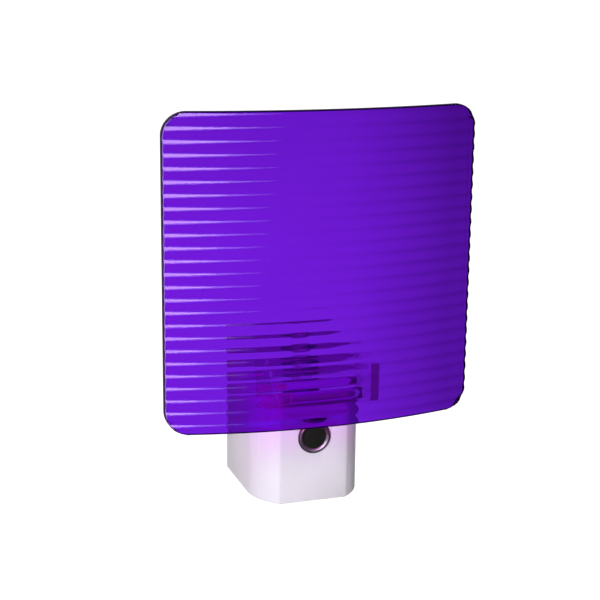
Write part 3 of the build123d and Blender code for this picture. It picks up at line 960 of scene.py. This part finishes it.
def dome(radius, top, angle, steps):
    """The corners of a dome: an arc that starts on the axis at the top and runs outwards."""
    arc = [angle * step / steps for step in range(steps + 1)]
    return [(radius * math.sin(a), top - radius * (1 - math.cos(a))) for a in arc]


print("pieces can be turned")

# %% [markdown]
# A bezel frames the sensor's window. Its crown is flat with a sloped rim on both sides, and a
# neck runs back into the housing's hole. The outline is turned about the sensor's axis, and a
# bevel rounds its edges so that they catch the light.

# %% Light sensor: its ring
ring_height = 0.9 * mm
ring_length = ring_high.y - ring_low.y
sensor_centre = Vector((0, ring_low.y + ring_height, ring_axis_z))
window_radius = 3.0 * mm
fit_gap = 0.075 * mm
bore_radius = window_radius + fit_gap
neck_radius = 3.55 * mm
slope = (ring_radius - bore_radius) / 3
sensor_ring = turned(
    "sensor_ring",
    [
        (bore_radius, ring_height - slope),
        (bore_radius + slope, ring_height),
        (ring_radius - slope, ring_height),
        (ring_radius, ring_height - slope),
        (ring_radius, 0),
        (neck_radius, 0),
        (neck_radius, ring_height - ring_length),
        (bore_radius, ring_height - ring_length),
    ],
    sensor_centre,
    to_room,
    to_right,
)
soften(sensor_ring, width=0.22 * mm, segments=4, sharp=30)
finish_piece(sensor_ring, "bezel_chrome", "sensor_bezel")

# %% [markdown]
# The window is a button of dark plastic with a shallow dome. The dome is an arc of a large
# circle whose radius follows from the window's width and the dome's height. The photocell
# sits behind it.

# %% Light sensor: its dark window
window_edge = 1.1 * mm
window_dome = 0.45 * mm
window_back = sensor_centre.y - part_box("sensor_lens")[1].y
window_top = window_back + window_edge + window_dome
dome_radius = (window_radius**2 + window_dome**2) / (2 * window_dome)
dome_angle = math.asin(window_radius / dome_radius)
sensor_window = turned(
    "sensor_window",
    dome(dome_radius, window_top, dome_angle, steps=10)
    + [(window_radius, window_back), (0, window_back)],
    sensor_centre,
    to_room,
    to_right,
)
finish_piece(sensor_window, "sensor_window", "sensor_lens")

# %% [markdown]
# The diode stands in a raised ring on the housing's top, which shows dimly through the shade.
# It is turned as the sensor's ring is, but it is taller, and its bore widens below to take
# the diode's rim. Its chrome has a finish of its own, because the painted shade line of the
# sensor's ring is drawn about the sensor's axis.

# %% Light-emitting diode: its raised ring
holder_low, holder_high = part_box("led_bezel")
holder_radius = (holder_high.x - holder_low.x) / 2
holder_rise = 4.0 * mm
holder_centre = Vector((0, (holder_low.y + holder_high.y) / 2, holder_high.z - holder_rise))
holder_foot = holder_low.z - holder_centre.z
led_radius = 2.5 * mm
led_bore = led_radius + fit_gap
rim_bore = 3.05 * mm
rim_seat = 1.45 * mm
holder_neck = 3.9 * mm
holder_slope = (holder_radius - led_bore) / 3
led_holder = turned(
    "led_holder",
    [
        (led_bore, holder_rise - holder_slope),
        (led_bore + holder_slope, holder_rise),
        (holder_radius - holder_slope, holder_rise),
        (holder_radius, holder_rise - holder_slope),
        (holder_radius, 0),
        (holder_neck, 0),
        (holder_neck, holder_foot),
        (rim_bore, holder_foot),
        (rim_bore, rim_seat),
        (led_bore, rim_seat),
    ],
    holder_centre,
    up,
    to_right,
)
soften(led_holder, width=0.2 * mm, segments=3, sharp=30)
smoked_chrome = plated_metal("smoked_chrome", (0.38, 0.32, 0.42, 1), 0.26)
led_holder.data.materials.append(smoked_chrome)
finish_piece(led_holder, "bezel_chrome", "led_bezel")

# %% [markdown]
# The lamp itself is a bullet of clear resin: a straight wall, a half-round top and a thin rim
# at its foot. It is turned about the same axis as its ring.

# %% Light-emitting diode: its lens
led_low, led_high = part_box("led_body")
led_foot = Vector((0, holder_centre.y, led_low.z))
led_length = led_high.z - led_low.z
rim_radius = 2.9 * mm
rim_height = 1.0 * mm
led_lens = turned(
    "led_lens",
    dome(led_radius, led_length, math.pi / 2, steps=12)
    + [(led_radius, rim_height), (rim_radius, rim_height), (rim_radius, 0), (0, 0)],
    led_foot,
    up,
    to_right,
)
finish_piece(led_lens, "led_epoxy", "led_body")

# %% [markdown]
# The back cover closes the housing and holds the blades. It has slots, posts and hooks that
# the frame already shapes well, so a merged copy gets softened edges.

# %% Back cover
cover = merged_copy("back_cover", "rear_cover")
flatten(cover)
soften(cover, width=0.12 * mm, segments=2, sharp=40)
finish_piece(cover, "white_cover", "back_cover")

# %% [markdown]
# The two blades are stamped from flat strip, with a hole near the tip and a chamfered end.
# Stamping rolls the edges over, so they get a wider, rounder bevel than the plastic.

# %% Plug blades
for side in ("left", "right"):
    blade = merged_copy("plug_blade_" + side, "blade_" + side)
    flatten(blade)
    soften(blade, width=0.2 * mm, segments=3, sharp=40)
    finish_piece(blade, "blade_plate", "plug_blade_" + side)

# %% [markdown]
# The light floats over a plain white floor, far enough below it that only the softest shadow
# is left. The floor's own glow is seen by the camera alone, so it whitens the picture without
# adding light to the object.

# %% Floor
floor_size, floor_middle, floor_depth = 12, 3, 0.30
bpy.ops.mesh.primitive_plane_add(size=floor_size, location=(0, floor_middle, -floor_depth))
floor = bpy.context.object
floor.name = "studio_floor"
floor_material, recipe = new_material("studio_floor")
matt = recipe.node("ShaderNodeBsdfDiffuse", None, {0: (0.8, 0.8, 0.8, 1)})[0]
glow = recipe.node("ShaderNodeEmission", None, {0: (1, 1, 1, 1), 1: 0.95})[0]
lit = recipe.node("ShaderNodeAddShader", None, {0: matt, 1: glow})[0]
is_camera = recipe.node("ShaderNodeLightPath")[0]
recipe.output(recipe.node("ShaderNodeMixShader", None, {0: is_camera, 1: matt, 2: lit})[0])
floor.data.materials.append(floor_material)
floor.visible_transmission = False
floor.visible_glossy = False
print("floor ready")

# %% [markdown]
# The Standard view shows colours as they are written.

# %% View settings
bpy.context.scene.view_settings.view_transform = "Standard"
